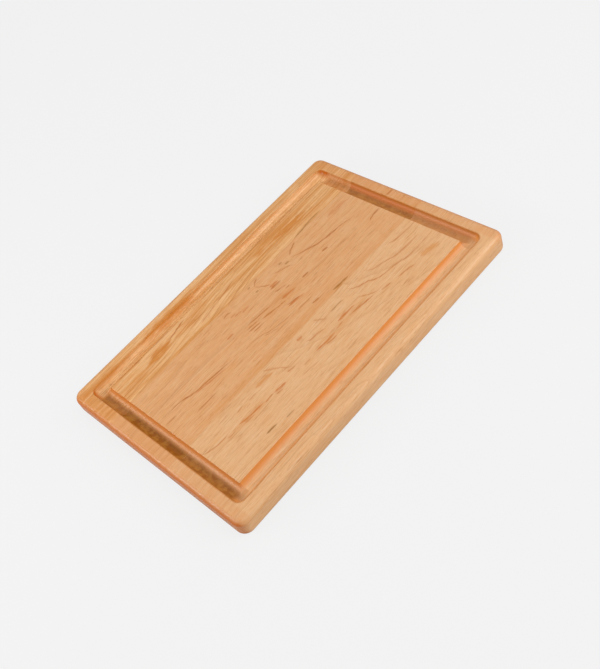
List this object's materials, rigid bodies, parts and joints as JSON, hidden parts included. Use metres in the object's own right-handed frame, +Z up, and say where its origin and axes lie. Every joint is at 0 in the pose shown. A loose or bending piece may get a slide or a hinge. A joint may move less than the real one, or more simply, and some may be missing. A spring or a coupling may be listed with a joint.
{
  "type": "cutting board",
  "caption": "Rectangular edge-glued wooden cutting board with rounded corners, round-over edges and a juice groove round the top face.",
  "frame": {"origin": "middle of the underside, which the board rests on", "axes": "+X along the length and the grain, +Y across the planks from the front one to the rear one, +Z up, out of the grooved top face"},
  "size_m": [0.457, 0.305, 0.028],
  "materials": {
    "maple_front": "pale flat-sawn maple, sanded and oiled, satin",
    "maple_centre": "pinkish-tan flat-sawn maple, sanded and oiled, satin",
    "maple_rear": "golden straight-grained maple, sanded and oiled, satin",
    "glue": "cured wood glue, amber brown"
  },
  "bodies": {
    "root": {"front_plank": "maple_front", "centre_plank": "maple_centre", "rear_plank": "maple_rear", "front_glue_line": "glue", "rear_glue_line": "glue"}
  },
  "joints": []
}
